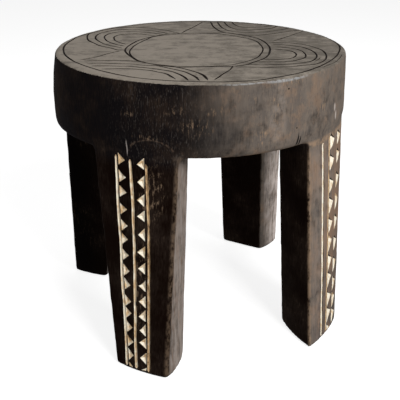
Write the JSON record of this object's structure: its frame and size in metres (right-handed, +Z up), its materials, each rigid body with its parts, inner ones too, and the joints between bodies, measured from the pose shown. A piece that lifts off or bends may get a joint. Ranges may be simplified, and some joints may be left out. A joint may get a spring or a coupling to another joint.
{
  "type": "stool",
  "caption": "Round wooden stool carved from one log, with tapering legs, an incised top and chip-carved bands whitened with chalk down the legs.",
  "frame": {"origin": "on the floor, under the middle of the stool's plan outline", "axes": "+Z up, -Y towards the viewer of the picture, +X to the viewer's right"},
  "size_m": [0.4229, 0.4407, 0.4],
  "materials": {
    "wood": "dark, worn and waxed, satin",
    "chalk": "matt, dusty, off-white"
  },
  "bodies": {
    "root": {"carved_body": "wood", "front_left_leg_left_line_chalk": "chalk", "front_left_leg_middle_line_chalk": "chalk", "front_left_leg_right_line_chalk": "chalk", "front_left_leg_left_notch_chalk": "chalk", "front_left_leg_right_notch_chalk": "chalk", "front_right_leg_left_line_chalk": "chalk", "front_right_leg_middle_line_chalk": "chalk", "front_right_leg_left_notch_chalk": "chalk", "front_right_leg_right_notch_chalk": "chalk", "back_right_leg_left_line_chalk": "chalk", "back_right_leg_middle_line_chalk": "chalk", "back_right_leg_right_line_chalk": "chalk", "back_right_leg_left_notch_chalk": "chalk", "back_right_leg_right_notch_chalk": "chalk", "back_left_leg_left_line_chalk": "chalk", "back_left_leg_middle_line_chalk": "chalk", "back_left_leg_left_notch_chalk": "chalk", "back_left_leg_right_notch_chalk": "chalk"}
  },
  "joints": []
}
